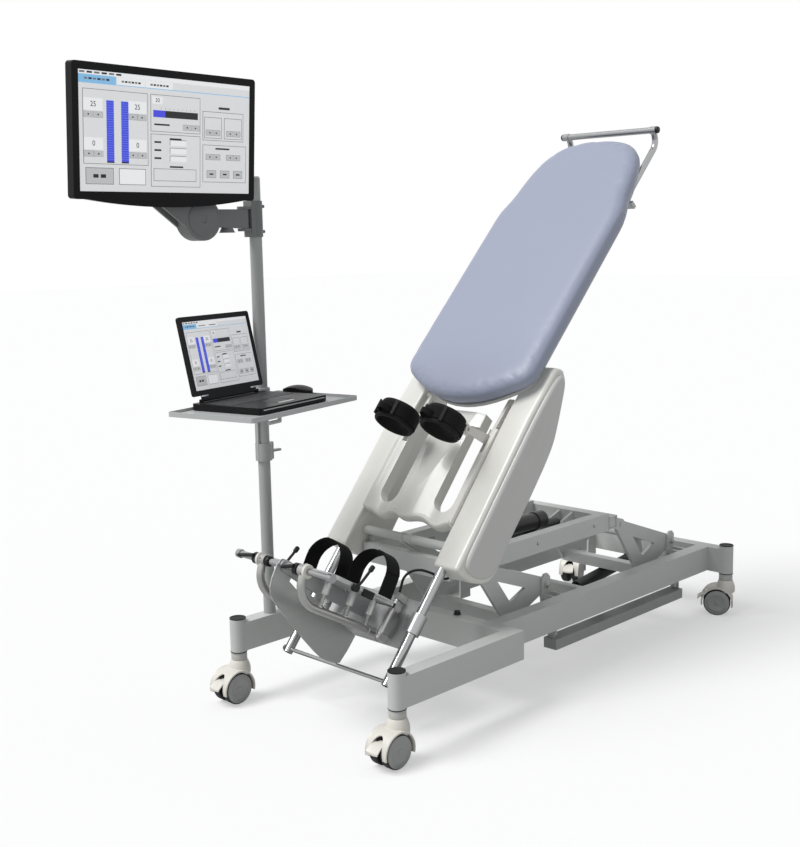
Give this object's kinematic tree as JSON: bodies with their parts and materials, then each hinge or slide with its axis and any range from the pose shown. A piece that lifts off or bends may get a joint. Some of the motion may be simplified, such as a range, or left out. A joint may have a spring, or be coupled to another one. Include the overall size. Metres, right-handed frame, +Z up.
{
  "type": "physiotherapy tilt table",
  "caption": "Powered tilt table with lift linkage, padded back, moving thigh cuffs, sprung foot plates, and a pole with a screen arm and laptop shelf.",
  "frame": {"origin": "middle of the footprint on the floor, under the whole object with its screen and shelf", "axes": "+Z up, +X from the foot end to the head end, +Y to the patient's side with the screen pole"},
  "size_m": [2.325, 0.7848, 1.8775],
  "materials": {
    "frame_grey": "satin",
    "lift_grey": "satin",
    "cream_metal": "satin",
    "cream_shell": "satin",
    "white_shell": "satin",
    "caster_cream": "satin",
    "wheel_grey": "satin",
    "chrome_steel": "polished",
    "brushed_metal": "brushed",
    "black_metal": "semi-gloss",
    "dark_grey_metal": "satin",
    "arm_grey": "satin",
    "black_plastic": "gloss",
    "black_rubber": "matte",
    "cushion_cover": "satin",
    "black_web": "matte",
    "screen_glass": "gloss"
  },
  "bodies": {
    "base": {"base_frame": "frame_grey", "column_caps": "black_rubber", "pole": "frame_grey", "lift_brackets": "lift_grey", "arm_bracket": "arm_grey"},
    "front_arms": {"lift_arm_front": "lift_grey"},
    "rear_arms": {"lift_arm_rear": "lift_grey"},
    "lift_frame": {"lift_frame": "lift_grey"},
    "height_rod": {"height_rod": "chrome_steel"},
    "height_tube": {"height_tube": "black_metal"},
    "tilt_motor": {"tilt_motor": "black_metal"},
    "tilt_rod": {"tilt_rod": "chrome_steel"},
    "foot_bar": {"foot_bar": "dark_grey_metal"},
    "bed": {"casing_right": "cream_shell", "casing_left": "cream_shell", "leg_cover": "white_shell", "tilt_crossmember": "dark_grey_metal", "back_board": "frame_grey", "cushion": "cushion_cover", "push_handle": "chrome_steel"},
    "thigh_arm_right": {"drive_arm_right": "cream_metal"},
    "thigh_arm_left": {"drive_arm_left": "cream_metal"},
    "cuff_right": {"cuff_right": "black_rubber"},
    "cuff_left": {"cuff_left": "black_rubber"},
    "foot_unit": {"leg_tubes": "chrome_steel", "foot_carriage": "brushed_metal", "foot_guard": "brushed_metal", "foot_shaft": "chrome_steel", "guide_dampers": "brushed_metal", "drive_cable": "black_rubber"},
    "foot_link_right": {"foot_link_right": "brushed_metal"},
    "foot_link_left": {"foot_link_left": "brushed_metal"},
    "foot_plate_right": {"foot_plate_right": "brushed_metal", "foot_strap_right": "black_web"},
    "foot_plate_left": {"foot_plate_left": "brushed_metal", "foot_strap_left": "black_web"},
    "clamp_right": {"clamp_lever_right": "black_plastic"},
    "clamp_left": {"clamp_lever_left": "black_plastic"},
    "screen_arm": {"arm_link": "arm_grey"},
    "screen": {"arm_head": "arm_grey", "screen_housing": "black_plastic", "screen_panel": "screen_glass"},
    "shelf_clamp": {"shelf_clamp": "black_metal"},
    "shelf": {"shelf_tray": "frame_grey", "laptop_base": "black_plastic", "mouse": "black_plastic"},
    "laptop_lid": {"laptop_lid": "black_plastic"},
    "caster_fr": {"caster_hood_fr": "caster_cream"},
    "wheels_fr": {"caster_wheels_fr": "wheel_grey"},
    "pedal_fr": {"caster_pedal_fr": "caster_cream"},
    "caster_fl": {"caster_hood_fl": "caster_cream"},
    "wheels_fl": {"caster_wheels_fl": "wheel_grey"},
    "pedal_fl": {"caster_pedal_fl": "caster_cream"},
    "caster_rr": {"caster_hood_rr": "caster_cream"},
    "wheels_rr": {"caster_wheels_rr": "wheel_grey"},
    "pedal_rr": {"caster_pedal_rr": "caster_cream"},
    "caster_rl": {"caster_hood_rl": "caster_cream"},
    "wheels_rl": {"caster_wheels_rl": "wheel_grey"},
    "pedal_rl": {"caster_pedal_rl": "caster_cream"}
  },
  "joints": [
    {"name": "lift", "type": "hinge", "parent": "base", "child": "front_arms", "pos_m": [0.24145, -0.00124, 0.275], "axis": [0, 1, 0], "range_deg": [0, 38]},
    {"name": "lift_frame_level", "type": "hinge", "parent": "front_arms", "child": "lift_frame", "pos_m": [-0.08941, -0.00124, 0.39805], "axis": [0, 1, 0], "range_deg": [-38.5, 0.5]},
    {"name": "rear_arm", "type": "hinge", "parent": "base", "child": "rear_arms", "pos_m": [0.99545, -0.00124, 0.275], "axis": [0, 1, 0], "range_deg": [-0.5, 38.5]},
    {"name": "height_rod_turn", "type": "hinge", "parent": "base", "child": "height_rod", "pos_m": [0.52345, -0.00124, 0.125], "axis": [0, 1, 0], "range_deg": [-2, 2]},
    {"name": "height_tube_turn", "type": "hinge", "parent": "rear_arms", "child": "height_tube", "pos_m": [1.02469, -0.00124, 0.17937], "axis": [0, 1, 0], "range_deg": [-40, 1]},
    {"name": "tilt", "type": "hinge", "parent": "lift_frame", "child": "bed", "pos_m": [-0.18655, -0.00124, 0.463], "axis": [0, -1, 0], "range_deg": [-50, 30]},
    {"name": "tilt_motor_turn", "type": "hinge", "parent": "lift_frame", "child": "tilt_motor", "pos_m": [0.53845, -0.00124, 0.4], "axis": [0, -1, 0], "range_deg": [-4, 6]},
    {"name": "tilt_rod_turn", "type": "hinge", "parent": "bed", "child": "tilt_rod", "pos_m": [-0.10598, -0.00124, 0.41266], "axis": [0, -1, 0], "range_deg": [-34, 56]},
    {"name": "foot_bar_press", "type": "hinge", "parent": "base", "child": "foot_bar", "pos_m": [0.54045, -0.25824, 0.1452], "axis": [1, 0, 0], "range_deg": [-4, 4], "stiffness_Nm_per_rad": 40},
    {"name": "swivel_fr", "type": "hinge", "parent": "base", "child": "caster_fr", "pos_m": [-0.62655, -0.34724, 0.1592], "axis": [0, 0, 1], "continuous": true},
    {"name": "roll_fr", "type": "hinge", "parent": "caster_fr", "child": "wheels_fr", "pos_m": [-0.65655, -0.34724, 0.049], "axis": [0, -1, 0], "continuous": true},
    {"name": "brake_fr", "type": "hinge", "parent": "caster_fr", "child": "pedal_fr", "pos_m": [-0.68693, -0.34724, 0.07938], "axis": [0, -1, 0], "range_deg": [-2, 12]},
    {"name": "swivel_fl", "type": "hinge", "parent": "base", "child": "caster_fl", "pos_m": [-0.62655, 0.34476, 0.1592], "axis": [0, 0, 1], "continuous": true},
    {"name": "roll_fl", "type": "hinge", "parent": "caster_fl", "child": "wheels_fl", "pos_m": [-0.65655, 0.34476, 0.049], "axis": [0, -1, 0], "continuous": true},
    {"name": "brake_fl", "type": "hinge", "parent": "caster_fl", "child": "pedal_fl", "pos_m": [-0.68693, 0.34476, 0.07938], "axis": [0, -1, 0], "range_deg": [-2, 12]},
    {"name": "swivel_rr", "type": "hinge", "parent": "base", "child": "caster_rr", "pos_m": [1.11345, -0.34724, 0.1592], "axis": [0, 0, 1], "continuous": true},
    {"name": "roll_rr", "type": "hinge", "parent": "caster_rr", "child": "wheels_rr", "pos_m": [1.09873, -0.32111, 0.049], "axis": [-0.8712, -0.4909, 0], "continuous": true},
    {"name": "brake_rr", "type": "hinge", "parent": "caster_rr", "child": "pedal_rr", "pos_m": [1.08381, -0.29464, 0.07938], "axis": [-0.8712, -0.4909, 0], "range_deg": [-2, 12]},
    {"name": "swivel_rl", "type": "hinge", "parent": "base", "child": "caster_rl", "pos_m": [1.11345, 0.34476, 0.1592], "axis": [0, 0, 1], "continuous": true},
    {"name": "roll_rl", "type": "hinge", "parent": "caster_rl", "child": "wheels_rl", "pos_m": [1.08526, 0.3345, 0.049], "axis": [0.342, -0.9397, 0], "continuous": true},
    {"name": "brake_rl", "type": "hinge", "parent": "caster_rl", "child": "pedal_rl", "pos_m": [1.05671, 0.32411, 0.07938], "axis": [0.342, -0.9397, 0], "range_deg": [-2, 12]},
    {"name": "thigh_swing_right", "type": "hinge", "parent": "bed", "child": "thigh_arm_right", "pos_m": [0.08827, -0.00124, 0.89163], "axis": [0, -1, 0], "range_deg": [-22, 6]},
    {"name": "cuff_turn_right", "type": "hinge", "parent": "thigh_arm_right", "child": "cuff_right", "pos_m": [-0.11639, -0.00124, 0.83753], "axis": [0, -1, 0], "range_deg": [-20, 20]},
    {"name": "foot_turn_right", "type": "hinge", "parent": "foot_unit", "child": "foot_link_right", "pos_m": [-0.71966, -0.00124, 0.51218], "axis": [0, -1, 0], "range_deg": [-10, 12]},
    {"name": "sole_spring_right", "type": "slide", "parent": "foot_link_right", "child": "foot_plate_right", "axis": [-0.509, 0, -0.8607], "range_m": [0, 0.012], "stiffness_N_per_m": 4000},
    {"name": "clamp_turn_right", "type": "hinge", "parent": "foot_unit", "child": "clamp_right", "pos_m": [-0.71966, -0.00124, 0.51218], "axis": [0, -1, 0], "range_deg": [-30, 12]},
    {"name": "thigh_swing_left", "type": "hinge", "parent": "bed", "child": "thigh_arm_left", "pos_m": [0.08827, -0.00124, 0.89163], "axis": [0, -1, 0], "range_deg": [-22, 6]},
    {"name": "cuff_turn_left", "type": "hinge", "parent": "thigh_arm_left", "child": "cuff_left", "pos_m": [-0.11639, -0.00124, 0.83753], "axis": [0, -1, 0], "range_deg": [-20, 20]},
    {"name": "foot_turn_left", "type": "hinge", "parent": "foot_unit", "child": "foot_link_left", "pos_m": [-0.71966, -0.00124, 0.51218], "axis": [0, -1, 0], "range_deg": [-10, 12]},
    {"name": "sole_spring_left", "type": "slide", "parent": "foot_link_left", "child": "foot_plate_left", "axis": [-0.509, 0, -0.8607], "range_m": [0, 0.012], "stiffness_N_per_m": 4000},
    {"name": "clamp_turn_left", "type": "hinge", "parent": "foot_unit", "child": "clamp_left", "pos_m": [-0.71966, -0.00124, 0.51218], "axis": [0, -1, 0], "range_deg": [-30, 12]},
    {"name": "leg_slide", "type": "slide", "parent": "bed", "child": "foot_unit", "axis": [-0.6428, 0, -0.766], "range_m": [-0.03, 0.1], "deforming": ["drive_cable"]},
    {"name": "arm_swivel", "type": "hinge", "parent": "base", "child": "screen_arm", "pos_m": [-0.54355, 0.34476, 1.479], "axis": [0, 0, 1], "range_deg": [-25, 10]},
    {"name": "screen_rise", "type": "hinge", "parent": "screen_arm", "child": "screen", "pos_m": [-0.70855, 0.34476, 1.479], "axis": [0, 1, 0], "range_deg": [-12, 7]},
    {"name": "shelf_lift", "type": "slide", "parent": "base", "child": "shelf_clamp", "axis": [0, 0, 1], "range_m": [-0.12, 0.16]},
    {"name": "shelf_swivel", "type": "hinge", "parent": "shelf_clamp", "child": "shelf", "pos_m": [-0.49855, 0.34476, 0.942], "axis": [0, 0, 1], "range_deg": [-100, 12]},
    {"name": "laptop_lid_turn", "type": "hinge", "parent": "shelf", "child": "laptop_lid", "pos_m": [-0.67266, 0.2763, 0.967], "axis": [0.9744, 0.225, 0], "range_deg": [-18, 102]}
  ],
  "couplings": [
    {"joint": "lift_frame_level", "follows": "lift", "ratio": -1},
    {"joint": "rear_arm", "follows": "lift", "ratio": 1},
    {"joint": "height_rod_turn", "follows": "lift", "ratio": -0.0235},
    {"joint": "height_tube_turn", "follows": "lift", "ratio": -1.0235},
    {"joint": "tilt_motor_turn", "follows": "tilt", "ratio": -0.098},
    {"joint": "tilt_rod_turn", "follows": "tilt", "ratio": -1.098}
  ]
}
